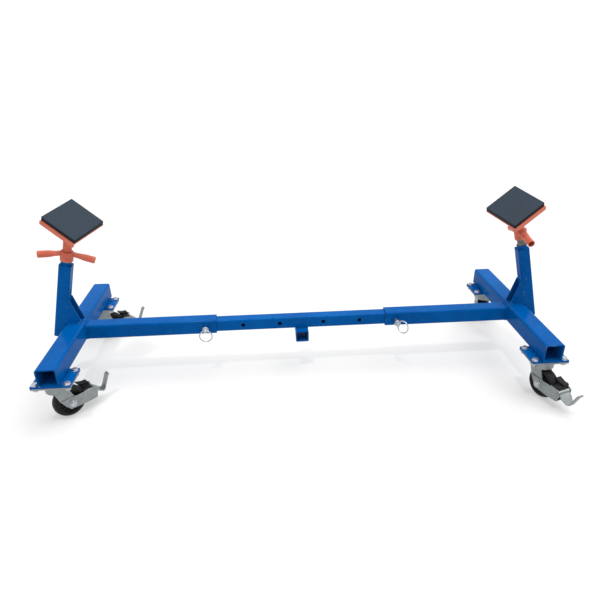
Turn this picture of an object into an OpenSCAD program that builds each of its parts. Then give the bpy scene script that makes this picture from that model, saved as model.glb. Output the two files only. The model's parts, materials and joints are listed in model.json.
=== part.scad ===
// Adjustable vehicle body dolly: a telescoping bar joins two T-shaped end
// frames, each with a leaning screw post, a tilting pad and two locking casters.
// Units are millimetres, Z is up, X runs along the telescoping bar, -Y is front.

/* [Part to build] */
// Name of the piece to build, or "all"

/* [Overall] */
// Distance between the two cross tubes, centre to centre
track = 1500; // [1300:10:1700]
// Wheel diameter
wheel_d = 100; // [80:1:125]
// Free height from the top of a wheel to the underside of the mounting plates
wheel_gap = 38; // [32:1:60]

/* [Cross tubes] */
// Length of each cross tube, front to back
cross_len = 600; // [500:10:720]
// Outside size of the square cross tube
cross_size = 60; // [50:1:72]
// Wall of the cross tube
cross_wall = 4; // [2.5:0.5:6]
// Outside corner radius of the cross tube
cross_round = 7; // [4:0.5:10]

/* [Telescoping bar] */
// Outside size of the outer arm tube
arm_size = 50; // [45:1:56]
// Wall of the outer arm tube
arm_wall = 4; // [3:0.5:5]
// Distance from the centre to the open end of each arm
arm_end = 290; // [270:5:340]
// Free space between bar and arm on each side
bar_gap = 1; // [0.5:0.1:2]
// Wall of the inner bar
bar_wall = 3; // [2:0.5:4]
// Length of the inner bar
bar_len = 930; // [860:10:932]
// Distance from the centre to the first hole
hole_first = 74.5; // [60:0.5:90]
// Distance between holes
hole_pitch = 125; // [110:1:135]
// Diameter of the holes in the bar
hole_d = 14; // [13:0.5:16]
// Width of the receiver stub under the bar
stub_w = 44; // [36:1:56]
// Height of the receiver stub
stub_h = 40; // [30:1:50]
// Length of the receiver stub, front to back
stub_len = 92; // [80:2:140]

/* [Lock pins] */
// Diameter of the lock pin
pin_d = 12; // [10:0.5:12.5]
// How far the pin travels to engage
pin_stroke = 7; // [6:0.5:10]
// Extra length of the right pin, drawn further out than the left one
pin_extra = 15; // [0:1:20]
// Outside diameter of the pull ring
ring_od = 45; // [36:1:52]
// Wire diameter of the pull ring
ring_wire = 4; // [3:0.5:5]

/* [Posts] */
// Outside size of the square post
post_size = 38; // [38:1:50]
// Wall of the post
post_wall = 3; // [2:0.5:3]
// Inward lean of the post in degrees
post_lean = 15.5; // [0:0.5:18]
// Distance of the post axis outward from the cross tube centre, at its top face
post_out = 47.3; // [44:0.1:52]
// Length of the post above the cross tube top
post_up = 209; // [180:1:260]
// Length of the post below the cross tube top
post_down = 50; // [35:1:58]
// Height up the post where the gusset meets it
gusset_up = 94; // [60:1:120]
// Thickness of the gusset plates
gusset_t = 4; // [3:0.5:6]
// Length of sleeve standing out of the post
sleeve_out = 12; // [6:1:20]
// Length of sleeve inside the post
sleeve_in = 58; // [40:1:80]

/* [Lifting rods and nuts] */
// Diameter of the lifting rod
rod_d = 27; // [24:0.5:29]
// Length of rod below the post top
rod_down = 120; // [105:5:150]
// Height of the rod shoulder above the post top
rod_up = 101; // [96:1:130]
// Outside diameter of the handle nut
nut_od = 40; // [38:1:46]
// Height of the handle nut
nut_h = 30; // [26:1:36]
// Height the right nut stands above its sleeve
nut_raised = 21; // [0:1:32]
// Reach of each handle from the axis
handle_reach = 84; // [78:1:120]
// Outside diameter of the handle pipe
handle_d = 22; // [18:1:24]
// Droop of the handles in degrees
handle_droop = 11; // [0:1:15]
// Turn of the left handles about their rod
handle_turn_left = -15; // [-180:1:180]
// Turn of the right handles about their rod
handle_turn_right = -91; // [-180:1:180]

/* [Pads] */
// Side of the square rubber pad
pad_size = 123; // [100:1:140]
// Plate beyond the rubber on its lipped side
lip_over = 5; // [2:0.5:8]
// Thickness of the rubber
rubber_t = 14; // [8:1:18]
// Thickness of the pad plate
plate_t = 5; // [4:0.5:6]
// Depth of the turned-down lip
lip_h = 14; // [10:1:20]
// Tilt of the pads toward the front
pad_tilt = 25.5; // [0:0.5:26]
// Turn of the tilt axis away from the bar direction
head_turn = 17; // [0:1:30]
// Turn of the left pad on its head
pad_turn_left = 41; // [0:1:90]
// Turn of the right pad on its head
pad_turn_right = 37; // [0:1:90]
// Sideways offset of the pad from its pivot
pad_shift = 10; // [0:1:15]
// Diameter of the tilt pin
tilt_pin_d = 10; // [8:0.5:12]

/* [Caster plates] */
// Width of the mounting plate across the tube
mount_w = 114.3; // [108:0.1:125]
// Length of the mounting plate along the tube
mount_l = 95.2; // [90:0.1:110]
// Thickness of the mounting plate
mount_t = 6; // [4:0.5:8]
// Set-back of the plate from the tube end
mount_in = 4; // [0:0.5:10]
// Bolt spacing across the tube
bolt_x = 92; // [88:0.5:98]
// Bolt spacing along the tube
bolt_y = 72; // [66:0.5:78]
// Diameter of the mounting bolts
bolt_d = 10; // [8:0.5:10]

/* [Casters] */
// Distance from swivel axis to wheel axle
trail = 22; // [18:1:30]
// Width of the tyre
tyre_w = 32; // [26:1:34]
// Diameter of the axle bolt
axle_d = 12; // [10:0.5:12]
// Diameter of the kingpin
king_d = 12; // [10:0.5:14]
// Direction of the front left caster
turn_fl = 44; // [-180:1:180]
// Direction of the rear left caster
turn_rl = 30; // [-180:1:180]
// Direction of the front right caster
turn_fr = -70; // [-180:1:180]
// Direction of the rear right caster
turn_rr = 70; // [-180:1:180]

/* [Hidden] */
$fn = 64;
run_fit = 0.05;
free_gap = 0.4;
half = track / 2;
caster_h = wheel_d + wheel_gap;
tube_z = caster_h + mount_t;
top_z = tube_z + cross_size;
bar_size = arm_size - 2 * arm_wall - 2 * bar_gap;
bar_z = tube_z + arm_size / 2;
arm_len = half - cross_size / 2 - arm_end;
pin_x = hole_first + 2 * hole_pitch;
pin_tip = bar_size / 2 + bar_gap + 0.5;
boss_l = 6;
pin_head = arm_size / 2 + boss_l + pin_stroke + 0.5;
ring_r = (ring_od - ring_wire) / 2;
ring_hole = pin_head + 10.5;
sleeve_od = post_size - 2 * post_wall;
sleeve_id = rod_d + 0.7;
washer_t = 3;
washer_z = sleeve_out;
nut_z = washer_z + washer_t + free_gap;
spigot_d = 14;
spigot_h = 10;
head_base = rod_up + free_gap;
pivot_z = rod_up + 24;
lug_w = 16;
plate_z = 19;
axle_z = wheel_d / 2;
mount_y = cross_len / 2 - mount_in - mount_l / 2;
lug_plate_t = 5;
race_z = caster_h - lug_plate_t;
fork_top = race_z - 6.5;
fork_bot = fork_top - 8.5;
leg_in = tyre_w / 2 + 3.5;
leg_t = 3.5;
side_t = 2.5;
pedal_x = trail + wheel_d / 2 + 26;
pedal_z = axle_z + 11;

// Box with four rounded long edges, centred in x and y, from z = 0
module round_bar(w, d, len, r) {
  translate([-w / 2 + r, -d / 2, 0]) cube([w - 2 * r, d, len]);
  translate([-w / 2, -d / 2 + r, 0]) cube([w, d - 2 * r, len]);
  for (x = [-1, 1], y = [-1, 1])
    translate([x * (w / 2 - r), y * (d / 2 - r), 0]) cylinder(h = len, r = r);
}

// Hollow section with rounded corners, centred in x and y, from z = 0
module box_tube(w, d, len, wall, r) {
  difference() {
    round_bar(w, d, len, r);
    translate([0, 0, -1])
      round_bar(w - 2 * wall, d - 2 * wall, len + 2, max(r - wall, 1));
  }
}

// Ring or pipe from z = 0
module pipe(od, id, len) {
  difference() {
    cylinder(h = len, d = od);
    translate([0, 0, -1]) cylinder(h = len + 2, d = id);
  }
}

// Mirrors a right-hand piece for the left end
module at_side(s) {
  if (s > 0) children(); else mirror([1, 0, 0]) children();
}

// Moves to a post axis: z up the post from the cross tube top, x outward
module at_post() {
  translate([half + post_out, 0, top_z]) rotate([0, -post_lean, 0]) children();
}

// Moves to the top of a post
module at_post_top() {
  at_post() translate([0, 0, post_up]) children();
}

// Moves to the pad pivot: x along the tilt axis, y to the front
module at_head() {
  at_post_top() rotate([0, 0, 180 - head_turn]) children();
}

// Moves to a pad, z along its face normal
module at_pad(turn) {
  at_head() translate([0, 0, pivot_z]) rotate([-pad_tilt, 0, 0])
    translate([pad_shift, 0, 0]) rotate([0, 0, turn]) children();
}

// Inner bar of the telescoping beam with its row of pin holes
module centre_bar() color("royalblue")
  difference() {
    translate([-bar_len / 2, 0, bar_z]) rotate([0, 90, 0])
      box_tube(bar_size, bar_size, bar_len, bar_wall, 4);
    for (s = [-1, 1], k = [0:3])
      translate([s * (hole_first + k * hole_pitch), 0, bar_z]) rotate([90, 0, 0])
        cylinder(h = bar_size + 2, d = hole_d, center = true);
  }

// Short open socket welded under the middle of the bar
module receiver_stub() color("royalblue")
  translate([0, stub_len / 2, bar_z - bar_size / 2 - stub_h / 2]) rotate([90, 0, 0])
    box_tube(stub_w, stub_h, stub_len, 4, 5);

// Front-to-back tube of an end frame
module cross_tube() color("royalblue")
  translate([half, cross_len / 2, tube_z + cross_size / 2]) rotate([90, 0, 0])
    box_tube(cross_size, cross_size, cross_len, cross_wall, cross_round);

// Outer sleeve of the telescoping beam with the pin boss on its front
module arm() color("royalblue")
  difference() {
    union() {
      translate([arm_end, 0, bar_z]) rotate([0, 90, 0])
        box_tube(arm_size, arm_size, arm_len, arm_wall, 6);
      translate([pin_x, -arm_size / 2 + 0.5, bar_z]) rotate([90, 30, 0])
        cylinder(h = boss_l + 0.5, d = 24, $fn = 6);
    }
    translate([pin_x, -arm_size / 2 + arm_wall + 0.5, bar_z]) rotate([90, 0, 0])
      cylinder(h = boss_l + arm_wall + 2, d = pin_d + 2 * free_gap);
  }

// Leaning square post with a top cap, notched over the cross tube
module post() color("royalblue")
  difference() {
    union() {
      difference() {
        at_post() translate([0, 0, -post_down])
          round_bar(post_size, post_size, post_up + post_down, 6);
        at_post() translate([0, 0, -post_down - 1])
          round_bar(post_size - 2 * post_wall, post_size - 2 * post_wall,
                    post_up + post_down - 3, 3);
      }
      post_wedge();
    }
    translate([half, cross_len / 2, tube_z + cross_size / 2]) rotate([90, 0, 0])
      round_bar(cross_size, cross_size, cross_len, cross_round);
    at_post_top() translate([0, 0, -10]) cylinder(h = 20, d = sleeve_od);
  }

// Filler between the leaning post and the upright face of the cross tube
module post_wedge()
  translate([half + cross_size / 2, post_size / 2 - 2, top_z]) rotate([90, 0, 0])
    linear_extrude(post_size - 4)
      polygon([[-2, -cross_round], [-2, -post_down + 7], [wedge_x(post_down - 7), -post_down + 7],
               [wedge_x(cross_round), -cross_round]]);

// Distance from the cross tube side to the middle of the post's inner wall
function wedge_x(down) = post_out - cross_size / 2 + down * tan(post_lean)
  - (post_size / 2 - post_wall / 2) / cos(post_lean);

// Two gusset plates between the post and the top of the cross tube
module gusset() color("royalblue")
  for (s = [-1, 1]) difference() {
    translate([half, s * (post_size - gusset_t) / 2 + gusset_t / 2, top_z]) rotate([90, 0, 0])
      linear_extrude(gusset_t) polygon(gusset_shape());
    at_post() translate([0, 0, -post_down])
      round_bar(post_size, post_size, post_up + post_down, 6);
  }

// Outline of a gusset plate seen from the front
function gusset_shape() = [
  [post_out - post_size / 2 / cos(post_lean) + 4.5, 0],
  [-cross_size / 2 + 8, 0],
  [post_out - gusset_up * sin(post_lean) - post_size / 2 * cos(post_lean) - 1,
   gusset_up * cos(post_lean) - post_size / 2 * sin(post_lean)],
  [post_out - gusset_up * sin(post_lean) - post_size / 2 * cos(post_lean) + 4.5,
   gusset_up * cos(post_lean) - post_size / 2 * sin(post_lean)]];

// Round guide sleeve welded into the post top
module sleeve() color("royalblue")
  at_post_top() translate([0, 0, -sleeve_in])
    pipe(sleeve_od, sleeve_id, sleeve_in + sleeve_out);

// Two plates under the ends of a cross tube
module mount_plates() color("royalblue")
  for (s = [-1, 1]) difference() {
    translate([half - mount_w / 2, s * mount_y - mount_l / 2, caster_h])
      cube([mount_w, mount_l, mount_t]);
    for (x = [-1, 1], y = [-1, 1])
      translate([half + x * bolt_x / 2, s * mount_y + y * bolt_y / 2, caster_h - 1])
        cylinder(h = mount_t + 2, d = bolt_d);
  }

// Bolts and nuts that hold both casters of one end frame
module mount_bolts() color("silver")
  for (s = [-1, 1], x = [-1, 1], y = [-1, 1])
    translate([half + x * bolt_x / 2, s * mount_y + y * bolt_y / 2, 0]) {
      translate([0, 0, race_z - 9]) cylinder(h = mount_t + lug_plate_t + 10, d = bolt_d);
      translate([0, 0, tube_z]) cylinder(h = 6, d = 18, $fn = 6);
      translate([0, 0, race_z - 8]) cylinder(h = 8, d = 18, $fn = 6);
    }

// Flat ring under a handle nut
module thrust_washer(up) color("silver")
  at_post_top() translate([0, 0, washer_z + up])
    pipe(nut_od - 4, rod_d + (up > 0 ? 2 * run_fit : 0.7), washer_t);

// Plain shank with a spigot for the swivel head
module rod() color("orangered")
  at_post_top() {
    translate([0, 0, -rod_down]) cylinder(h = rod_down + rod_up, d = rod_d);
    cylinder(h = rod_up + spigot_h, d = spigot_d);
  }

// Threaded nut that carries the handle collar
module nut(up) color("orangered")
  at_post_top() translate([0, 0, nut_z + up]) {
    pipe(nut_od, rod_d + 4 * run_fit, nut_h - 20);
    pipe(nut_od - 7, rod_d + 4 * run_fit, nut_h);
  }

// Collar with two drooping pipe handles
module handle(up, turn) color("orangered")
  at_post_top() translate([0, 0, nut_z + nut_h - 20 + up]) rotate([0, 0, turn]) {
    pipe(nut_od, nut_od - 7, 20);
    for (s = [0, 180]) rotate([0, 0, s]) handle_pipe();
  }

// One handle: flattened root and round open end
module handle_pipe()
  difference() {
    translate([nut_od / 2 - 1.5, 0, 11]) rotate([0, 90 + handle_droop, 0]) {
      round_bar(11, 26, 26, 5);
      translate([0, 0, 20]) pipe(handle_d, handle_d - 4, handle_reach - nut_od / 2 - 18);
      translate([0, 0, 20]) cylinder(h = 3, d = handle_d);
    }
    translate([0, 0, -20]) cylinder(h = 60, d = nut_od - 1);
  }

// Fork on top of the rod with its tilt pin
module swivel_head() color("orangered")
  at_head() difference() {
    union() {
      translate([0, 0, head_base]) cylinder(h = spigot_h - free_gap, d = 36);
      for (s = [-1, 1]) translate([s * (lug_w / 2 + 3.5), 0, 0]) {
        translate([-3, -10, head_base]) cube([6, 20, pivot_z - head_base]);
        translate([-3, 0, pivot_z]) rotate([0, 90, 0]) cylinder(h = 6, d = 20);
      }
      translate([-lug_w / 2 - 11, 0, pivot_z]) rotate([0, 90, 0])
        cylinder(h = lug_w + 22, d = tilt_pin_d);
      translate([lug_w / 2 + 6, 0, pivot_z]) rotate([0, 90, 0])
        cylinder(h = 6, d = 17, $fn = 6);
      translate([-lug_w / 2 - 12, 0, pivot_z]) rotate([0, 90, 0])
        cylinder(h = 6, d = 17, $fn = 6);
    }
    translate([0, 0, rod_up - 1]) cylinder(h = spigot_h + 1, d = spigot_d + 2 * run_fit);
  }

// Plate with one bent lip and the lug that turns on the tilt pin
module pad_plate(turn) color("orangered") {
  at_pad(turn) {
    translate([-pad_size / 2, -pad_size / 2, plate_z])
      cube([pad_size, pad_size + lip_over, plate_t]);
    translate([-pad_size / 2, pad_size / 2 + lip_over - plate_t, plate_z + plate_t - lip_h])
      cube([pad_size, plate_t, lip_h]);
  }
  at_head() translate([0, 0, pivot_z]) rotate([-pad_tilt, 0, 0]) difference() {
    union() {
      translate([-lug_w / 2, -10, 0]) cube([lug_w, 20, plate_z + 1]);
      translate([-lug_w / 2, 0, 0]) rotate([0, 90, 0]) cylinder(h = lug_w, d = 20);
    }
    translate([-lug_w, 0, 0]) rotate([0, 90, 0])
      cylinder(h = 2 * lug_w, d = tilt_pin_d + 2 * run_fit);
  }
}

// Rubber slab bonded on the plate
module pad_rubber(turn) color("dimgray")
  at_pad(turn) translate([-pad_size / 2, -pad_size / 2, plate_z + plate_t])
    cube([pad_size, pad_size, rubber_t]);

// Pull pin, shown drawn back, with a cross hole turned by roll
module lock_pin(extra, roll) color("silver")
  translate([pin_x, 0, bar_z]) rotate([90, 0, 0]) difference() {
    union() {
      translate([0, 0, pin_tip]) cylinder(h = pin_head + extra - pin_tip + 1, d = pin_d);
      translate([0, 0, pin_head + extra]) cylinder(h = 5, d = 21);
      translate([0, 0, pin_head + extra]) cylinder(h = 16, d = 13);
    }
    translate([0, 0, ring_hole + extra]) rotate([0, 0, roll]) rotate([0, 90, 0])
      cylinder(h = 30, d = ring_wire + 3, center = true);
  }

// Wire ring through the cross hole, turned by roll and swung about the hole
module pin_ring(extra, roll, swing) color("silver")
  translate([pin_x, -ring_hole - extra, bar_z]) rotate([90, 0, 0]) rotate([0, 0, roll])
    rotate([swing, 0, 0]) translate([0, -ring_r, 0])
      rotate_extrude() translate([ring_r, 0]) circle(d = ring_wire);

// Moves to a caster: x toward the pedal, swivel axis upright at the origin
module at_caster(s, e, turn) {
  translate([s * half, e * mount_y, 0]) rotate([0, 0, turn]) children();
}

// Fixed plate with upper race and kingpin
module top_plate(s, e) color("lightslategray")
  translate([s * half, e * mount_y, 0]) {
    difference() {
      translate([-mount_w / 2, -mount_l / 2, race_z]) cube([mount_w, mount_l, lug_plate_t]);
      for (x = [-1, 1], y = [-1, 1])
        translate([x * bolt_x / 2, y * bolt_y / 2, race_z - 1])
          cylinder(h = lug_plate_t + 2, d = bolt_d);
    }
    translate([0, 0, fork_top + 0.5]) cylinder(h = 6.5, d = 66);
    translate([0, 0, fork_bot - 8]) cylinder(h = 18, d = king_d);
    translate([0, 0, fork_bot - 8]) cylinder(h = 7.5, d = 20, $fn = 6);
  }

// Swivelling fork: cupped crown with the lower race and two legs
module fork(s, e, turn) color("lightslategray")
  at_caster(s, e, turn) difference() {
    union() {
      translate([0, 0, axle_z + wheel_d / 2 + 5]) cylinder(h = fork_top - axle_z - wheel_d / 2 - 5, d = 72);
      for (y = [-1, 1]) translate([0, y * (leg_in + leg_t / 2) + leg_t / 2, 0])
        rotate([90, 0, 0]) linear_extrude(leg_t) polygon(leg_shape());
    }
    translate([0, 0, axle_z]) cylinder(h = fork_bot - axle_z, d = 2 * leg_in);
    translate([0, 0, fork_bot - 1]) cylinder(h = 20, d = king_d + 2 * run_fit);
    translate([trail, 0, axle_z]) rotate([90, 0, 0])
      cylinder(h = 80, d = axle_d, center = true);
  }

// Side view of a fork leg
function leg_shape() = [
  [-26, fork_top], [-26, fork_bot], [-22, axle_z + 50], [-12, axle_z + 20],
  [trail - 20, axle_z - 4], [trail - 7, axle_z - 17], [trail + 8, axle_z - 15],
  [trail + 18, axle_z - 4], [trail + 13, axle_z + 14], [21, axle_z + 48],
  [28, fork_bot], [28, fork_top]];

// Brake frame bolted to the fork: side plates, foot strip, shoe and pedal pivot
module brake_frame(s, e, turn) color("lightslategray")
  at_caster(s, e, turn) difference() {
    union() {
      for (y = [-1, 1])
        translate([0, y * (leg_in + leg_t + side_t / 2) + side_t / 2, 0])
          rotate([90, 0, 0]) linear_extrude(side_t) polygon(side_shape());
      translate([pedal_x - 8, -leg_in - leg_t - 1, axle_z - 17])
        cube([10, 2 * (leg_in + leg_t + 1), 2.5]);
      translate([0, leg_in + leg_t + 1, 0]) rotate([90, 0, 0])
        linear_extrude(2 * (leg_in + leg_t + 1)) polygon(shoe_shape(27, 12));
      translate([0, leg_in + leg_t + 1, 0]) rotate([90, 0, 0])
        linear_extrude(leg_in + leg_t - 2) polygon(shoe_shape(46, 19));
      translate([pedal_x, 0, pedal_z]) rotate([90, 0, 0])
        cylinder(h = 2 * (leg_in + leg_t + side_t) + 4, d = 6, center = true);
    }
    translate([trail, 0, axle_z]) rotate([90, 0, 0])
      cylinder(h = 80, d = axle_d, center = true);
  }

// Side view of a brake frame plate
function side_shape() = [
  [-10, axle_z + 21], [trail - 9, axle_z - 17], [trail + 44, axle_z - 20],
  [pedal_x + 1, axle_z - 18], [pedal_x + 7, pedal_z - 6], [pedal_x + 6, pedal_z + 5],
  [pedal_x - 2, pedal_z + 10], [trail + 23, axle_z + 20]];

// Side view of the brake shoe, clear of the wheel rim, up to a wheel angle and a height
function shoe_shape(top, up) = let (r = wheel_d / 2 + 2) [
  for (a = [0 : 3]) let (w = 12 + a * (top - 12) / 3) [trail + r * cos(w), axle_z + r * sin(w)],
  [pedal_x - 22, pedal_z + up], [pedal_x - 8, pedal_z + up - 1],
  [pedal_x - 5, pedal_z + up - 4], [pedal_x - 8, pedal_z + 6]];

// Axle bolt with head and nut
module axle(s, e, turn) color("silver")
  at_caster(s, e, turn) translate([trail, 0, axle_z]) rotate([90, 0, 0]) {
    out = leg_in + leg_t + side_t;
    cylinder(h = 2 * out + 20, d = axle_d, center = true);
    translate([0, 0, out]) cylinder(h = 7, d = 21, $fn = 6);
    translate([0, 0, -out - 9]) cylinder(h = 9, d = 21, $fn = 6);
  }

// Wheel with rounded tread and hub boss
module wheel(s, e, turn) color("#202020")
  at_caster(s, e, turn) translate([trail, 0, axle_z]) rotate([90, 0, 0])
    rotate_extrude($fn = 96) polygon(wheel_shape());

// Half section of the wheel
function wheel_shape() = let (r = wheel_d / 2, w = tyre_w / 2, b = axle_d / 2 + run_fit) [
  [b, -w - 3], [16, -w - 3], [18, -w + 5], [r - 13, -w + 5], [r - 11, -w],
  [r - 3, -w], [r - 0.9, -w + 1.5], [r, -w + 4.5], [r, w - 4.5], [r - 0.9, w - 1.5],
  [r - 3, w], [r - 11, w], [r - 13, w - 5], [18, w - 5], [16, w + 3], [b, w + 3]];

// Cranked foot pedal on the pivot of the brake frame
module pedal(s, e, turn) color("lightslategray")
  at_caster(s, e, turn) translate([pedal_x, 0, pedal_z]) difference() {
    union() {
      rotate([90, 0, 0]) cylinder(h = 2 * leg_in + 3, d = 11, center = true);
      intersection() {
        translate([0, 30, 0]) rotate([90, 0, 0]) linear_extrude(60) polygon(pedal_side());
        translate([0, 0, -40]) linear_extrude(80) polygon(pedal_plan());
      }
    }
    rotate([90, 0, 0]) cylinder(h = 80, d = 6 + 2 * run_fit, center = true);
  }

// Side view of the pedal plate, down from the pivot and up to the toe
function pedal_side() = [
  [1, -5], [30, -28], [38, -26], [56, 16], [62, 20],
  [60, 24], [53, 19.5], [35, -22], [31, -23.6], [4, -2]];

// Plan view of the pedal plate
function pedal_plan() = let (w = leg_in + 1) [
  [0, -w], [16, -w], [31, -13], [40, -9], [58, -9], [63, -6],
  [63, 6], [58, 9], [40, 9], [31, 13], [16, w], [0, w]];

centre_bar();
receiver_stub();
at_side(-1) cross_tube();  // left_cross_tube
at_side(-1) arm();  // left_arm
at_side(-1) post();  // left_post
at_side(-1) gusset();  // left_gusset
at_side(-1) sleeve();  // left_sleeve
at_side(-1) mount_plates();  // left_mount_plates
at_side(-1) mount_bolts();  // left_mount_bolts
at_side(-1) thrust_washer(0);  // left_thrust_washer
at_side(-1) rod();  // left_rod
at_side(-1) nut(0);  // left_nut
at_side(-1) handle(0, handle_turn_left);  // left_handle
at_side(-1) swivel_head();  // left_swivel_head
at_side(-1) pad_plate(pad_turn_left);  // left_pad_plate
at_side(-1) pad_rubber(pad_turn_left);  // left_pad_rubber
at_side(-1) lock_pin(0, 0);  // left_lock_pin
at_side(-1) pin_ring(0, 0, 0);  // left_pin_ring
cross_tube();  // right_cross_tube
arm();  // right_arm
post();  // right_post
gusset();  // right_gusset
sleeve();  // right_sleeve
mount_plates();  // right_mount_plates
mount_bolts();  // right_mount_bolts
thrust_washer(nut_raised);  // right_thrust_washer
rod();  // right_rod
nut(nut_raised);  // right_nut
handle(nut_raised, handle_turn_right);  // right_handle
swivel_head();  // right_swivel_head
pad_plate(pad_turn_right);  // right_pad_plate
pad_rubber(pad_turn_right);  // right_pad_rubber
lock_pin(pin_extra, 80);  // right_lock_pin
pin_ring(pin_extra, 80, -50);  // right_pin_ring
top_plate(-1, -1);  // fl_top_plate
fork(-1, -1, turn_fl);  // fl_fork
brake_frame(-1, -1, turn_fl);  // fl_brake_frame
axle(-1, -1, turn_fl);  // fl_axle
wheel(-1, -1, turn_fl);  // fl_wheel
pedal(-1, -1, turn_fl);  // fl_pedal
top_plate(-1, 1);  // rl_top_plate
fork(-1, 1, turn_rl);  // rl_fork
brake_frame(-1, 1, turn_rl);  // rl_brake_frame
axle(-1, 1, turn_rl);  // rl_axle
wheel(-1, 1, turn_rl);  // rl_wheel
pedal(-1, 1, turn_rl);  // rl_pedal
top_plate(1, -1);  // fr_top_plate
fork(1, -1, turn_fr);  // fr_fork
brake_frame(1, -1, turn_fr);  // fr_brake_frame
axle(1, -1, turn_fr);  // fr_axle
wheel(1, -1, turn_fr);  // fr_wheel
pedal(1, -1, turn_fr);  // fr_pedal
top_plate(1, 1);  // rr_top_plate
fork(1, 1, turn_rr);  // rr_fork
brake_frame(1, 1, turn_rr);  // rr_brake_frame
axle(1, 1, turn_rr);  // rr_axle
wheel(1, 1, turn_rr);  // rr_wheel
pedal(1, 1, turn_rr);  // rr_pedal
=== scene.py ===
import json
import math
import random

import bmesh
import bpy
from mathutils import Matrix, Vector


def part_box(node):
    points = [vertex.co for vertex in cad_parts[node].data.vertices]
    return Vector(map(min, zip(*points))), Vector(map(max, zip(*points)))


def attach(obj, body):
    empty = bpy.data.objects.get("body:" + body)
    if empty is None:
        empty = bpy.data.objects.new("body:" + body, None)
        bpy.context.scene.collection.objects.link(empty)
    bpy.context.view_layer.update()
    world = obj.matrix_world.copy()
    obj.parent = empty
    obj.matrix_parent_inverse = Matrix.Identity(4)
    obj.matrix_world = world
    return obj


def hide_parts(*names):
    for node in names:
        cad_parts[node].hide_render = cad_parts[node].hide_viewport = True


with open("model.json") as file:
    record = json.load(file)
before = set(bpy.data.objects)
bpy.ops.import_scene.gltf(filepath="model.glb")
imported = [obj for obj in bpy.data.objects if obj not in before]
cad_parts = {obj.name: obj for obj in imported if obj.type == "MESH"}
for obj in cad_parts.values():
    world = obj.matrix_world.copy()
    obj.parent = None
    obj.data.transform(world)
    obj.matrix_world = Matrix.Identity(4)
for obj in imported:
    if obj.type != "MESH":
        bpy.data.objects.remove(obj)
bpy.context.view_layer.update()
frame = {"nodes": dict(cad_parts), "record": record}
random.seed(7)


# ---------------------------------------------------------------- materials
def new_mat(name):
    m = bpy.data.materials.new(name)
    m.use_nodes = True
    nt = m.node_tree
    return m, nt, nt.nodes["Principled BSDF"]


def tex(nt, kind, scale, detail=4.0, rough=0.6, stretch=None):
    """A noise, voronoi or wave texture on object coordinates, in metres."""
    co = nt.nodes.new("ShaderNodeTexCoord")
    t = nt.nodes.new(kind)
    t.inputs["Scale"].default_value = scale
    if kind == "ShaderNodeTexNoise":
        t.inputs["Detail"].default_value = detail
        t.inputs["Roughness"].default_value = rough
    if stretch:
        mp = nt.nodes.new("ShaderNodeMapping")
        mp.inputs["Scale"].default_value = stretch
        nt.links.new(co.outputs["Object"], mp.inputs[0])
        nt.links.new(mp.outputs[0], t.inputs["Vector"])
    else:
        nt.links.new(co.outputs["Object"], t.inputs["Vector"])
    return t.outputs["Fac"] if kind == "ShaderNodeTexNoise" else t.outputs["Distance"]


def ramp(nt, src, stops):
    r = nt.nodes.new("ShaderNodeValToRGB")
    els = r.color_ramp.elements
    while len(els) < len(stops):
        els.new(0.5)
    for e, (p, c) in zip(els, stops):
        e.position = p
        e.color = (c, c, c, 1) if isinstance(c, (int, float)) else (*c, 1)
    nt.links.new(src, r.inputs[0])
    return r.outputs[0]


def mix(nt, fac, a, b, kind="MIX"):
    n = nt.nodes.new("ShaderNodeMixRGB")
    n.blend_type = kind
    for s, v in ((n.inputs[0], fac), (n.inputs[1], a), (n.inputs[2], b)):
        if hasattr(v, "default_value"):
            nt.links.new(v, s)
        else:
            s.default_value = v if isinstance(v, (int, float)) else (*v, 1)
    return n.outputs[0]


def bump(nt, heights, round_edge=0.0):
    """A chain of bumps from (height, strength, distance), over softly rounded edges."""
    normal = None
    if round_edge:
        bv = nt.nodes.new("ShaderNodeBevel")
        bv.samples = 4
        bv.inputs["Radius"].default_value = round_edge
        normal = bv.outputs[0]
    for h, strength, dist in heights:
        b = nt.nodes.new("ShaderNodeBump")
        b.inputs["Strength"].default_value = strength
        b.inputs["Distance"].default_value = dist
        nt.links.new(h, b.inputs["Height"])
        if normal:
            nt.links.new(normal, b.inputs["Normal"])
        normal = b.outputs[0]
    return normal


def edge_mask(nt, radius, low=0.90, high=0.99):
    """1 on sharp edges and 0 on flats."""
    bv = nt.nodes.new("ShaderNodeBevel")
    bv.samples = 4
    bv.inputs["Radius"].default_value = radius
    ge = nt.nodes.new("ShaderNodeNewGeometry")
    dot = nt.nodes.new("ShaderNodeVectorMath")
    dot.operation = "DOT_PRODUCT"
    nt.links.new(bv.outputs[0], dot.inputs[0])
    nt.links.new(ge.outputs["Normal"], dot.inputs[1])
    return ramp(nt, dot.outputs["Value"], [(low, 1.0), (high, 0.0)])


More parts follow.
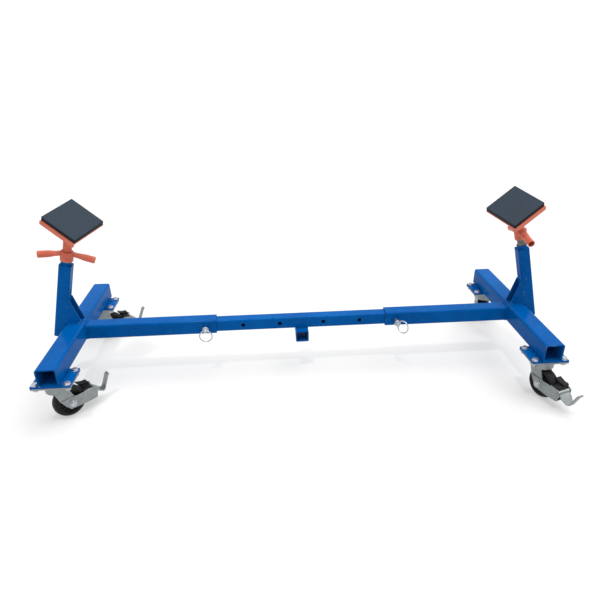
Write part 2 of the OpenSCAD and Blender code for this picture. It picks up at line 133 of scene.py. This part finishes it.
def paint(name, dark, base, light, rough=(0.16, 0.30), chip=(0.35, 0.36, 0.38), spec=0.02):
    """Gloss enamel: uneven tone, orange peel, dull scuffs, and small chips on worn edges."""
    m, nt, bs = new_mat(name)
    cloud = tex(nt, "ShaderNodeTexNoise", 7, 3)
    fine = tex(nt, "ShaderNodeTexNoise", 55, 6, 0.7)
    peel = tex(nt, "ShaderNodeTexNoise", 420, 2)
    scuff = tex(nt, "ShaderNodeTexNoise", 26, 8, 0.75, (1, 5, 1.4))
    col = mix(nt, ramp(nt, cloud, [(0.35, 0.0), (0.65, 1.0)]), dark, base)
    col = mix(nt, ramp(nt, fine, [(0.52, 0.0), (0.80, 0.55)]), col, light)
    wear = mix(nt, 1.0, edge_mask(nt, 0.0022), ramp(nt, fine, [(0.55, 0.0), (0.68, 1.0)]), "MULTIPLY")
    col = mix(nt, wear, col, chip)
    nt.links.new(col, bs.inputs["Base Color"])
    lo, hi = rough
    nt.links.new(ramp(nt, scuff, [(0.40, lo), (0.72, hi), (0.86, hi + 0.22)]), bs.inputs["Roughness"])
    bs.inputs["Specular IOR Level"].default_value = spec
    bs.inputs["Specular Tint"].default_value = (*[min(1, c * 2.2 + 0.02) for c in light], 1)
    bs.inputs["Coat Weight"].default_value = 0.06
    bs.inputs["Coat Roughness"].default_value = 0.09
    nt.links.new(bump(nt, [(peel, 0.10, 0.0004), (cloud, 0.10, 0.002)], 0.0014), bs.inputs["Normal"])
    return m


def metal(name, dark, base, rough=(0.28, 0.46), spangle=0.0, brushed=None, edge=0.0009):
    """Plated or galvanised steel with stains, fine grain and brighter worn edges."""
    m, nt, bs = new_mat(name)
    cloud = tex(nt, "ShaderNodeTexNoise", 38, 6, 0.7)
    grain = tex(nt, "ShaderNodeTexNoise", 900, 2, 0.5, brushed or (1, 1, 1))
    col = mix(nt, ramp(nt, cloud, [(0.34, 0.0), (0.66, 1.0)]), dark, base)
    if spangle:
        cell = tex(nt, "ShaderNodeTexVoronoi", 240)
        col = mix(nt, ramp(nt, cell, [(0.0, spangle), (0.6, 0.0)]), col, [min(1, c * 1.25) for c in base])
    col = mix(nt, edge_mask(nt, 0.0014), col, [min(1, c * 1.2) for c in base])
    nt.links.new(col, bs.inputs["Base Color"])
    bs.inputs["Metallic"].default_value = 0.85
    nt.links.new(ramp(nt, cloud, [(0.3, rough[0]), (0.7, rough[1])]), bs.inputs["Roughness"])
    nt.links.new(bump(nt, [(grain, 0.12, 0.0002), (cloud, 0.10, 0.0006)], edge), bs.inputs["Normal"])
    return m


def rubber(name, dark, base, scuffed, rough=(0.55, 0.8), grain_scale=700, edge=0.0015):
    """Rubber with moulded grain, dusty scuffs and paler worn edges."""
    m, nt, bs = new_mat(name)
    cloud = tex(nt, "ShaderNodeTexNoise", 16, 7, 0.72)
    grain = tex(nt, "ShaderNodeTexNoise", grain_scale, 3)
    dust = tex(nt, "ShaderNodeTexNoise", 70, 8, 0.8, (1, 3, 1))
    col = mix(nt, ramp(nt, cloud, [(0.35, 0.0), (0.65, 1.0)]), dark, base)
    col = mix(nt, ramp(nt, dust, [(0.56, 0.0), (0.78, 0.55)]), col, scuffed)
    col = mix(nt, ramp(nt, edge_mask(nt, 0.003), [(0.0, 0.0), (1.0, 0.35)]), col, scuffed)
    nt.links.new(col, bs.inputs["Base Color"])
    nt.links.new(ramp(nt, cloud, [(0.3, rough[0]), (0.7, rough[1])]), bs.inputs["Roughness"])
    bs.inputs["Specular IOR Level"].default_value = 0.15
    nt.links.new(bump(nt, [(grain, 0.30, 0.0003), (cloud, 0.15, 0.001)], edge), bs.inputs["Normal"])
    return m


BLUE = paint("blue enamel", (0.000, 0.058, 0.228), (0.000, 0.074, 0.272), (0.004, 0.108, 0.340))
ORANGE = paint("orange enamel", (0.46, 0.105, 0.064), (0.55, 0.140, 0.088), (0.60, 0.20, 0.14), (0.24, 0.38),
               (0.20, 0.17, 0.15), 0.12)
ZINC = metal("bright zinc", (0.34, 0.36, 0.39), (0.50, 0.52, 0.55), (0.22, 0.38))
GALV = metal("galvanised steel", (0.19, 0.21, 0.215), (0.29, 0.31, 0.31), (0.34, 0.52), spangle=0.35)
THREAD = metal("bare thread", (0.10, 0.10, 0.09), (0.22, 0.22, 0.21), (0.30, 0.48))
PAD = rubber("pad rubber", (0.014, 0.023, 0.034), (0.022, 0.034, 0.050), (0.038, 0.052, 0.070))
# a darker copy of the pad rubber for the slab's side faces: painted shade on the sides
PAD_SIDE_SHADE = rubber("pad side painted shade", (0.006, 0.008, 0.011), (0.010, 0.013, 0.017), (0.030, 0.036, 0.044))
TYRE = rubber("wheel rubber", (0.006, 0.006, 0.007), (0.012, 0.012, 0.014), (0.035, 0.035, 0.038),
              (0.38, 0.6), 500)
RIM = rubber("wheel rim", (0.008, 0.008, 0.010), (0.016, 0.016, 0.019), (0.045, 0.045, 0.05), (0.35, 0.5),
             900)
SHOE = rubber("brake block", (0.004, 0.004, 0.005), (0.008, 0.008, 0.009), (0.022, 0.022, 0.024), (0.4, 0.6),
              600)

SLOT_MAT = {"blue_paint": BLUE, "orange_paint": ORANGE, "zinc": ZINC, "galvanised": GALV,
            "pad_rubber": PAD, "wheel_rubber": TYRE}
slot_of = {s["node"]: s["material_slot"] for s in frame["record"]["subparts"]}
for name, ob in frame["nodes"].items():
    ob.data.materials.clear()
    ob.data.materials.append(THREAD if "thrust" in name else SLOT_MAT[slot_of[name]])


# ---------------------------------------------------------------- mesh helpers
MM = 0.001
JO = {j["name"]: j for j in frame["record"]["behaviour"]["joints"]}


def piece(name, bm, mat, body, replaces=(), smooth=35):
    """Turns a bmesh in metres into an object that rides on a body."""
    bmesh.ops.recalc_face_normals(bm, faces=bm.faces)
    me = bpy.data.meshes.new(name)
    bm.to_mesh(me)
    bm.free()
    ob = bpy.data.objects.new(name, me)
    bpy.context.scene.collection.objects.link(ob)
    for m in (mat if isinstance(mat, (list, tuple)) else [mat]):
        me.materials.append(m)
    if smooth:
        me.shade_smooth()
        me.set_sharp_from_angle(angle=math.radians(smooth))
    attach(ob, body)
    if replaces:
        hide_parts(*replaces)
    return ob


class Place:
    """A local frame in millimetres: origin and three axes, which may mirror."""

    def __init__(self, o, x, y, z):
        self.o, self.x, self.y, self.z = (Vector(v) for v in (o, x, y, z))

    def __call__(self, x, y, z):
        return self.o + (self.x * x + self.y * y + self.z * z) * MM


WORLD = {"right": Place((0, 0, 0), (1, 0, 0), (0, 1, 0), (0, 0, 1)),
         "left": Place((0, 0, 0), (-1, 0, 0), (0, 1, 0), (0, 0, 1))}


def rod_place(side):
    """Post top: z up the rod, x outward, y to the back."""
    j = JO[side + "_head_swivel"]
    u = Vector(j["axis"])
    sg = 1 if side == "right" else -1
    return Place(j["pos_m"], (sg * u.z, 0, -sg * u.x), (0, 1, 0), u)


def caster_place(c):
    """Floor under a swivel axis: x toward the pedal, y along the axle."""
    j, w = JO[c + "_caster_swivel"], JO[c + "_wheel_spin"]
    y = Vector(w["axis"])
    return Place((j["pos_m"][0], j["pos_m"][1], 0), (y.y, -y.x, 0), y, (0, 0, 1))


def rings(bm, loops, closed_ring=True, cap=True, close_path=False):
    """Skins a list of vertex loops."""
    vs = [[bm.verts.new(p) for p in lp] for lp in loops]
    n = len(vs[0])
    pairs = list(zip(vs, vs[1:])) + ([(vs[-1], vs[0])] if close_path else [])
    for a, b in pairs:
        for i in range(n if closed_ring else n - 1):
            k = (i + 1) % n
            bm.faces.new((a[i], a[k], b[k], b[i]))
    if cap and not close_path:
        bm.faces.new(vs[0])
        bm.faces.new(vs[-1][::-1])
    return vs


def lathe(bm, place, prof, segs=64, axis="z", at=(0, 0, 0), close=True):
    """Revolves a closed (radius, height) outline about a local axis through at."""
    loops = []
    for i in range(segs):
        a = 2 * math.pi * i / segs
        ca, sa = math.cos(a), math.sin(a)
        lp = []
        for r, h in prof:
            x, y, z = {"z": (r * ca, r * sa, h), "y": (r * ca, h, r * sa), "x": (h, r * ca, r * sa)}[axis]
            lp.append(place(at[0] + x, at[1] + y, at[2] + z))
        loops.append(lp)
    rings(bm, loops, closed_ring=close, cap=False, close_path=True)


def hexagon(bm, place, at, h, af, axis="z", chamfer=0.8, dome=True, turn=0.0):
    """Hexagonal head or nut with a turned chamfer."""
    segs, loops = 48, []
    hexr = lambda a: af / 2 / math.cos((a - turn + math.pi / 6) % (math.pi / 3) - math.pi / 6)
    for lvl, (z, lim) in enumerate(((0, 9e9), (h - chamfer, 9e9), (h, af / 2 * 0.97), (h, 0.01))):
        lp = []
        for i in range(segs):
            a = 2 * math.pi * i / segs
            r = min(hexr(a), lim if lvl != 1 else 9e9)
            x, y = r * math.cos(a), r * math.sin(a)
            p = {"z": (x, y, z), "y": (x, z, y), "-y": (x, -z, y), "-z": (x, y, -z)}[axis]
            lp.append(place(at[0] + p[0], at[1] + p[1], at[2] + p[2]))
        loops.append(lp)
    rings(bm, loops)


def bead(bm, place, pts, r=2.2, closed=False, step=1.3):
    """A weld bead with overlapping ripples along a path in local millimetres."""
    pts = [Vector(p) for p in pts]
    if closed:
        pts.append(pts[0])
    path, carry = [], 0.0
    for a, b in zip(pts, pts[1:]):
        d = (b - a).length
        s = carry
        while s < d:
            path.append((a.lerp(b, s / d), (b - a).normalized()))
            s += step
        carry = s - d
    if len(path) < 3:
        return
    loops, wob = [], random.random() * 6
    for i, (p, t) in enumerate(path):
        up = Vector((0, 0, 1)) if abs(t.z) < 0.8 else Vector((0, 1, 0))
        n = t.cross(up).normalized()
        m = n.cross(t)
        end = 0.45 if not closed and i in (0, len(path) - 1) else 1.0
        rr = r * end * (0.84 + 0.20 * ((i % 3) / 2) + 0.08 * math.sin(i * 0.37 + wob))
        loops.append([place(*(p + (n * math.cos(k * math.pi / 4) + m * math.sin(k * math.pi / 4)) * rr))
                      for k in range(8)])
    rings(bm, loops, close_path=closed, cap=True)


def square(x, y0, y1, z0, z1, c=5):
    """A rounded square path in the plane of a given x."""
    return [(x, y0 + c, z0), (x, y1 - c, z0), (x, y1 - c * 0.3, z0 + c * 0.3), (x, y1, z0 + c),
            (x, y1, z1 - c),
            (x, y1 - c * 0.3, z1 - c * 0.3), (x, y1 - c, z1), (x, y0 + c, z1),
            (x, y0 + c * 0.3, z1 - c * 0.3),
            (x, y0, z1 - c), (x, y0, z0 + c), (x, y0 + c * 0.3, z0 + c * 0.3)]


def circle(r, z, n=36, cx=0, cy=0):
    return [(cx + r * math.cos(2 * math.pi * i / n), cy + r * math.sin(2 * math.pi * i / n), z)
            for i in range(n)]


# ---------------------------------------------------------------- frames: welds
def frame_welds(side):
    w, body = WORLD[side], side + "_frame"
    half = abs(JO[("fr" if side == "right" else "fl") + "_caster_swivel"]["pos_m"][0]) / MM
    bm = bmesh.new()
    bead(bm, w, square(half - 30.2, -25, 25, 144.5, 194), 2.6, True)
    for s in (-1, 1):
        y = s * 18.3
        bead(bm, w, [(half - 20.5, y, 204.6), (half + 27, y, 204.6)], 2.0)
        bead(bm, w, [(half + 30.3, s * 17.6, 198), (half + 30.3, s * 17.6, 163)], 2.2)
        for x in (-30.2, 30.2):
            bead(bm, w, [(half + x, s * 206, 144.8), (half + x, s * 228, 144.8)], 2.3)
            bead(bm, w, [(half + x, s * 246, 144.8), (half + x, s * 292, 144.8)], 2.3)
    bead(bm, w, [(half - 22.2, -18, 204.6), (half - 22.2, 18, 204.6)], 2.1)
    piece(side + "_frame_welds", bm, BLUE, body)
    p = rod_place(side)
    bm = bmesh.new()
    bead(bm, p, circle(16.6, 0.7), 1.9, True)
    piece(side + "_sleeve_weld", bm, BLUE, body)
    bm = bmesh.new()
    for s in (-1, 1):
        for k in range(5):
            a, r = k * 1.26, 1.6 * (k > 0)
            lathe(bm, p, [(0.01, -0.6 * s), (0.01, 1.1 * s), (1.9, 0.8 * s), (2.8, -0.1 * s),
                          (2.8, -0.6 * s)], 16, "y",
                  (-3 + r * math.cos(a), s * 19.1, -111 + 1.5 * r * math.sin(a)))
    piece(side + "_plug_welds", bm, BLUE, body)
    bx = abs(JO[side + "_ring_swing"]["pos_m"][0] / MM)
    bm = bmesh.new()
    ring = [(bx + 12.6 * math.cos(a * math.pi / 15), -25.4, 169 + 12.6 * math.sin(a * math.pi / 15))
            for a in range(30)]
    bead(bm, w, ring, 1.5, True)
    piece(side + "_boss_weld", bm, BLUE, body)


def stub_welds():
    w = WORLD["right"]
    bm = bmesh.new()
    for s in (-1, 1):
        bead(bm, w, [(s * 20.6, -19, 149.2), (s * 20.6, 19, 149.2)], 2.0)
        bead(bm, w, [(-17, s * 20.4, 149.3), (17, s * 20.4, 149.3)], 2.0)
    piece("stub_weld", bm, BLUE, "centre")


# ---------------------------------------------------------------- rods, nuts, handles
def threaded_rod(side):
    """Rod with a rounded 4 mm thread below its plain painted upper end."""
    p = rod_place(side)
    hand = 1 if side == "right" else -1
    crest, root, pitch, segs = 13.5, 12.35, 4.0, 40
    top_thread = 62.0
    steps = 8
    n = int((120 + top_thread) / pitch * steps)
    bm = bmesh.new()
    loops = []
    prof = [root, root + 0.25, (crest + root) / 2, crest - 0.1, crest, crest - 0.1, (crest + root) / 2,
            root + 0.25]

    def radius(z, a):
        ph = (z / pitch - hand * a / (2 * math.pi)) % 1.0 * steps
        i = int(ph)
        f = ph - i
        r = prof[i % steps] * (1 - f) + prof[(i + 1) % steps] * f
        fade = max(0.0, min(1.0, (z - top_thread + 5) / 5))
        return r * (1 - fade) + crest * fade
    zs = [-120 + i * pitch / steps for i in range(n + 1)] + [101]
    loops.append([p(11.3 * math.cos(2 * math.pi * i / segs), 11.3 * math.sin(2 * math.pi * i / segs), -120)
                  for i in range(segs)])
    for z in zs:
        lp = []
        for i in range(segs):
            a = 2 * math.pi * i / segs
            r = radius(z, a) if z < 101 else crest
            lp.append(p(r * math.cos(a), r * math.sin(a), min(max(z, -119.2), 100.2)))
        loops.append(lp)
    for r, z in ((12.7, 101), (7, 101), (7, 110.4), (6.4, 111)):
        loops.append([p(r * math.cos(2 * math.pi * i / segs), r * math.sin(2 * math.pi * i / segs), z)
                      for i in range(segs)])
    rings(bm, loops)
    ob = piece(side + "_threaded_rod", bm, [THREAD, ORANGE], side + "_rod", (side + "_rod",),
               60)
    cut = {"left": 20.0, "right": 44.0}[side]
    for f in ob.data.polygons:
        z = sum((ob.data.vertices[v].co - p.o).dot(p.z) for v in f.vertices) / len(f.vertices) / MM
        f.material_index = 1 if z > cut else 0


def handles(side):
    """Collar with two pipe handles, pressed flat at the root and open at the end."""
    p = rod_place(side)
    up = {"left": 0.0, "right": 21.0}[side]
    turn = math.radians({"left": -15.0, "right": -91.0}[side])
    z0 = 25.4 + up
    bm = bmesh.new()
    lathe(bm, p, [(16.6, z0), (19.2, z0), (20, z0 + 0.8), (20, z0 + 18.6), (18.8, z0 + 20), (17.2, z0 + 20),
                  (16.6, z0 + 19.4)], 72)
    dr = math.radians(11)
    for k in (0, 1):
        a = turn + math.pi * k
        ca, sa = math.cos(a), math.sin(a)

        def at(s, side_, upv):
            r = 18.5 + s * math.cos(dr) + upv * math.sin(dr)
            h = z0 + 11 - s * math.sin(dr) + upv * math.cos(dr)
            return p(r * ca - side_ * sa, r * sa + side_ * ca, h)

        def section(s, shrink=0.0):
            f = max(0.0, min(1.0, (s - 10) / 30.0))
            f = f * f * (3 - 2 * f)
            hh, ww = 5.3 + (11 - 5.3) * f - shrink, 13.2 + (11 - 13.2) * f - shrink
            ex = 2.0 + 1.6 * (1 - f)
            lp = []
            for i in range(40):
                t = 2 * math.pi * i / 40
                c, s_ = math.cos(t), math.sin(t)
                lp.append(at(s, ww * math.copysign(abs(c) ** (2 / ex), c),
                             hh * math.copysign(abs(s_) ** (2 / ex), s_)))
            return lp
        loops = [section(s) for s in (-2, 2, 6, 10, 14, 18, 22, 26, 30, 34, 38, 42, 50, 58, 64.6)]
        loops += [section(65.6, 0.5), section(65.8, 1.2), section(65.4, 2.2), section(60, 2.4),
                  section(36, 2.6)]
        rings(bm, loops)
    ob = piece(side + "_handle_bar", bm, ORANGE, side + "_nut", (side + "_handle",), 45)
    bm = bmesh.new()
    for k in (0, 1):
        a = turn + math.pi * k
        pts = []
        for i in range(26):
            t = 2 * math.pi * i / 26
            sd, h = 12.4 * math.cos(t), 5.2 * math.sin(t)
            r = math.sqrt(max(20.2 ** 2 - sd * sd, 1))
            pts.append((r * math.cos(a) - sd * math.sin(a), r * math.sin(a) + sd * math.cos(a),
                        z0 + 10.6 + h))
        bead(bm, p, pts, 1.3, True, 1.1)
    piece(side + "_handle_welds", bm, ORANGE, side + "_nut")


# ---------------------------------------------------------------- pads
def pads(side):
    """Rubber slab with soft corners and edges, slightly crowned."""
    j = JO[side + "_pad_tilt"]
    lo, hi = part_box(side + "_pad_rubber")
    src = frame["nodes"][side + "_pad_rubber"].data
    vs = [v.co.copy() for v in src.vertices]
    nrm = Vector(next(m["axis"] for m in frame["record"]["mounts"] if m["name"] == side + "_pad_face"))
    face = Vector(next(m["pos_m"] for m in frame["record"]["mounts"] if m["name"] == side + "_pad_face"))
    top = [v for v in vs if abs((v - face).dot(nrm)) < 1e-4]
    corner = max(top, key=lambda v: (v - face).length)
    near = sorted({tuple(round(c, 5) for c in v) for v in top}, key=lambda v: (Vector(v) - corner).length)
    e = [Vector(v) - corner for v in near if (Vector(v) - corner).length > 0.05][:2]
    ex, ey = e[0].normalized(), e[1].normalized()
    size = e[0].length / MM
    pl = Place(face, ex, ey, nrm)
    half, t = size / 2, 14.0
    n = 22
    bm = bmesh.new()

    def outline(inset, z, rc):
        pts, h = [], half - inset
        for q in range(4):
            a0 = math.pi / 2 * q
            for i in range(n // 2):
                a = a0 + math.pi / 2 * i / (n // 2 - 1)
                sx = (h - rc) * (1 if q in (0, 3) else -1)
                sy = (h - rc) * (1 if q in (0, 1) else -1)
                pts.append(pl(sx + rc * math.cos(a), sy + rc * math.sin(a), z))
        return pts
    loops = [outline(0.3, -t, 3), outline(0, -t + 0.5, 3), outline(0, -1.6, 3), outline(0.25, -0.8, 2.8),
             outline(0.8, -0.25, 2.5),
             outline(1.6, 0, 2.2), outline(4, 0, 2)]
    rings(bm, loops)
    ob = piece(side + "_rubber_slab", bm, [PAD, PAD_SIDE_SHADE], side + "_pad",
               (side + "_pad_rubber",), 50)
    # side faces take the darker copy of the rubber, painted shade on the sides of the slab
    for f in ob.data.polygons:
        f.material_index = 1 if abs(f.normal.dot(nrm)) < 0.5 else 0


# ---------------------------------------------------------------- lock pins
def lock_pins(side):
    j = JO[side + "_ring_swing"]
    bx, hy = j["pos_m"][0] / MM, j["pos_m"][1] / MM
    w = WORLD["right"]
    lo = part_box(side + "_lock_pin")
    y_tip, y_end = lo[1][1] / MM, lo[0][1] / MM
    hd = hy + 10.5
    bm = bmesh.new()
    prof = [(0.01, y_tip), (5, y_tip), (6, y_tip - 1.2), (6, hd + 0.8), (6.6, hd), (9.8, hd),
            (10.5, hd - 0.8), (10.5, hd - 4.2),
            (9.8, hd - 5), (6.9, hd - 5), (6.3, hd - 5.6), (6.3, y_end + 1.6), (5.6, y_end + 0.5),
            (4.2, y_end), (0.01, y_end)]
    lathe(bm, w, prof, 48, "y", (bx, 0, 169), close=False)
    piece(side + "_pull_pin", bm, ZINC, side + "_lock_pin", (side + "_lock_pin",), 40)


# ---------------------------------------------------------------- bolts
def mount_bolts(side):
    body = side + "_frame"
    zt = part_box(side + "_mount_plates")[1][2] / MM
    bm = bmesh.new()
    for c in (("fr", "rr") if side == "right" else ("fl", "rl")):
        o = JO[c + "_caster_swivel"]["pos_m"]
        p = Place((o[0], o[1], 0), (1, 0, 0), (0, 1, 0), (0, 0, 1))
        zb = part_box(c + "_top_plate")[1][2] / MM - 5
        for x in (-46, 46):
            for y in (-36, 36):
                lathe(bm, p, [(4, zt), (10.4, zt), (10.6, zt + 0.4), (10.4, zt + 1.5), (4, zt + 1.5)], 40,
                      "z", (x, y, 0))
                hexagon(bm, p, (x, y, zt + 1.5), 4.9, 15.8, "z", 1.0, turn=random.random())
                hexagon(bm, p, (x, y, zb - 1.4), 6.5, 15.8, "-z", 1.0, turn=random.random())
                lathe(bm, p, [(4, zb), (9.8, zb), (9.8, zb - 1.4), (4, zb - 1.4)], 40, "z", (x, y, 0))
                lathe(bm, p, [(0.01, zb - 7), (0.01, zb - 9.2), (4.3, zb - 9.2), (4.9, zb - 8.6),
                              (4.9, zb - 7)], 32, "z", (x, y, 0), close=False)
    piece(side + "_hex_bolts", bm, ZINC, body, (side + "_mount_bolts",), 30)


# ---------------------------------------------------------------- casters
def caster(c):
    p = caster_place(c)
    wj = JO[c + "_wheel_spin"]
    trail = (Vector(wj["pos_m"]) - Vector((p.o.x, p.o.y, wj["pos_m"][2]))).length / MM
    side = "left" if c[1] == "l" else "right"
    hub = (trail, 0, 50)
    # tyre: rounded crown and side bead
    prof = []
    for i in range(25):
        a = math.pi * i / 24
        prof.append((37 + 13 * math.sin(a) ** 0.62,
                     -16 * math.cos(a) if abs(math.cos(a)) < 0.999 else -16 * math.copysign(1, math.cos(a))))
    prof = [(34.5, -12.5), (35.5, -15.2)] + prof + [(35.5, 15.2), (34.5, 12.5)]
    bm = bmesh.new()
    lathe(bm, p, prof, 128, "y", hub, close=True)
    piece(c + "_tyre", bm, TYRE, c + "_wheel", (c + "_wheel",), 60)
    # rim with ribbed web, hub boss and bearing shields
    bm = bmesh.new()
    rim = [(6.2, -18.8), (12, -18.8), (15, -18.2), (16.2, -16.5), (17.5, -9), (21, -7), (30, -7),
           (32.5, -9.5), (33, -13.2), (34.6, -13.8), (34.8, -10),
           (34.8, 10), (34.6, 13.8), (33, 13.2), (32.5, 9.5), (30, 7), (21, 7), (17.5, 9), (16.2, 16.5),
           (15, 18.2), (12, 18.8), (6.2, 18.8)]
    lathe(bm, p, rim, 96, "y", hub)
    for k in range(12):
        a = math.pi / 6 * k
        for s in (-1, 1):
            q = []
            for r, h, t in ((17, 6.5, 1.5), (17, 13, 1.1), (32.6, 11.5, 1.1), (32.6, 6.5, 1.5)):
                for d in (-t, t):
                    q.append(p(hub[0] + r * math.cos(a) - d * math.sin(a), s * h,
                               50 + r * math.sin(a) + d * math.cos(a)))
            v = [bm.verts.new(x) for x in q]
            for f in ((0, 2, 3, 1), (2, 4, 5, 3), (4, 6, 7, 5), (0, 6, 4, 2), (1, 3, 5, 7)):
                bm.faces.new([v[i] for i in f])
    piece(c + "_rim", bm, RIM, c + "_wheel", (), 35)
    bm = bmesh.new()
    for s in (-1, 1):
        lathe(bm, p, [(6.2, s * 17), (11.2, s * 17), (11.4, s * 18.9), (9.4, s * 19.1), (8.8, s * 18.4),
                      (6.2, s * 18.4)], 48, "y", hub)
    piece(c + "_bearing_shields", bm, ZINC, c + "_wheel")
    # axle bolt, nut, washers and rivets of the brake frame
    bm = bmesh.new()
    out = 25.5
    lathe(bm, p, [(0.01, -out), (0.01, out + 9), (5.2, out + 9), (6, out + 8.2), (6, -out)], 40, "y", hub,
          close=False)
    for s, h in ((-1, 6.2), (1, 7.6)):
        lathe(bm, p, [(5.5, s * out), (11.5, s * out), (11.5, s * (out + 1.3)), (5.5, s * (out + 1.3))], 48,
              "y", hub)
        hexagon(bm, p, (hub[0], s * (out + 1.3), 50), h, 18, "y" if s > 0 else "-y", 1.2, turn=0.3 + s * 0.2)
    piece(c + "_axle_bolt", bm, ZINC, c + "_swivel", (c + "_axle",), 30)
    bm = bmesh.new()
    for s in (-1, 1):
        for x, z in ((trail + 52, 41), (trail + 8, 68), (-2, 66)):
            lathe(bm, p, [(0.01, s * (out - 0.5)), (0.01, s * (out + 1.7)), (1.8, s * (out + 1.5)),
                          (3.3, s * (out + 0.8)), (3.8, s * (out - 0.5))], 24, "y", (x, 0, z), close=False)
    piece(c + "_rivets", bm, GALV, c + "_swivel")
    # black brake block over the shoe: low across the fork, tall and grooved on one half
    bm = bmesh.new()
    for y0, y1, ang, up in ((-23.45, 23.45, 27, 12), (2.4, 23.45, 46, 19)):
        arc = [(trail + r * math.cos(math.radians(a)), 50 + r * math.sin(math.radians(a)))
               for r, a in [(51.3, 12 + (ang - 12) * i / 6) for i in range(7)] + [(53, ang)]]
        zt = 61 + up
        top = [(trail + 54, zt + 1.8), (trail + 57, zt + 1.7), (trail + 58, zt + 0.5), (trail + 60, zt + 0.4),
               (trail + 61, zt + 1.3),
               (trail + 68.6, zt + 0.9), (trail + 71.8, zt - 2.6), (trail + 71.7, 68.5), (trail + 68.2, 66.2)]
        cx, cz = trail + 60, zt - 10
        rings(bm, [[p(x + (cx - x) * f, y, z + (cz - z) * f) for x, z in arc + top]
                   for y, f in ((y0, 0.03), (y0 + 0.8, 0.0), (y1 - 0.8, 0.0), (y1, 0.03))])
    piece(c + "_brake_block", bm, SHOE, c + "_swivel", (), 35)
    # rolled raceway lip under the fixed plate
    bm = bmesh.new()
    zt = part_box(c + "_top_plate")[1][2] / MM
    ring = []
    for i in range(12):
        a = 2 * math.pi * i / 12
        ring.append((33.4 + 1.5 * math.cos(a), zt - 9.2 + 1.3 * math.sin(a)))
    lathe(bm, p, ring, 96)
    lathe(bm, p, [(28, zt - 5), (34.2, zt - 5), (36.4, zt - 5.6), (36.0, zt - 6.4), (33.6, zt - 7.2),
                  (28, zt - 7.2)], 96)
    piece(c + "_race_lip", bm, GALV, side + "_frame")


for sd in ("left", "right"):
    frame_welds(sd)
    threaded_rod(sd)
    handles(sd)
    pads(sd)
    lock_pins(sd)
    mount_bolts(sd)
stub_welds()
for cs in ("fl", "rl", "fr", "rr"):
    caster(cs)


# ---------------------------------------------------------------- stage, light, camera
def floor_and_lights():
    bm = bmesh.new()
    bmesh.ops.create_grid(bm, x_segments=1, y_segments=1, size=60)
    me = bpy.data.meshes.new("floor")
    bm.to_mesh(me)
    fl = bpy.data.objects.new("floor", me)
    bpy.context.scene.collection.objects.link(fl)
    fl.location.z = -0.0006
    m, nt, bs = new_mat("pale floor")
    bs.inputs["Base Color"].default_value = (0.33, 0.33, 0.33, 1)
    bs.inputs["Roughness"].default_value = 0.9
    bs.inputs["Specular IOR Level"].default_value = 0.0
    bs.inputs["Emission Color"].default_value = (1, 1, 1, 1)
    bs.inputs["Emission Strength"].default_value = 0.42
    me.materials.append(m)
    w = bpy.data.worlds.new("studio")
    w.use_nodes = True
    w.node_tree.nodes["Background"].inputs[0].default_value = (1.0, 1.0, 1.0, 1)
    w.node_tree.nodes["Background"].inputs[1].default_value = 1.0
    bpy.context.scene.world = w
    for name, loc, angle, power in (("top", (1.5, 0.6, 4.0), 50, 2.5), ("key", (-0.5, -0.9, 3.4), 5, 1.0)):
        li = bpy.data.lights.new(name, "SUN")
        li.angle = math.radians(angle)
        li.energy = power
        ob = bpy.data.objects.new(name, li)
        bpy.context.scene.collection.objects.link(ob)
        ob.location = loc
        ob.rotation_euler = (-Vector(loc)).to_track_quat("-Z", "Y").to_euler()


def camera():
    cam = bpy.data.cameras.new("photo view")
    cam.sensor_width = 36
    cam.lens = 31.474
    cam.shift_x, cam.shift_y = -0.01145, 0.02374
    cam.clip_start, cam.clip_end = 0.05, 60
    ob = bpy.data.objects.new("photo view", cam)
    bpy.context.scene.collection.objects.link(ob)
    rot = Matrix(((0.997072, 0.043467, -0.062908),
                  (-0.075873, 0.460288, -0.884522),
                  (-0.009492, 0.886705, 0.462238)))
    ob.matrix_world = Matrix.Translation((-0.094077, -1.597345, 1.024671)) @ rot.to_4x4()
    bpy.context.scene.camera = ob


floor_and_lights()
camera()
bpy.context.scene.view_settings.view_transform = "Standard"
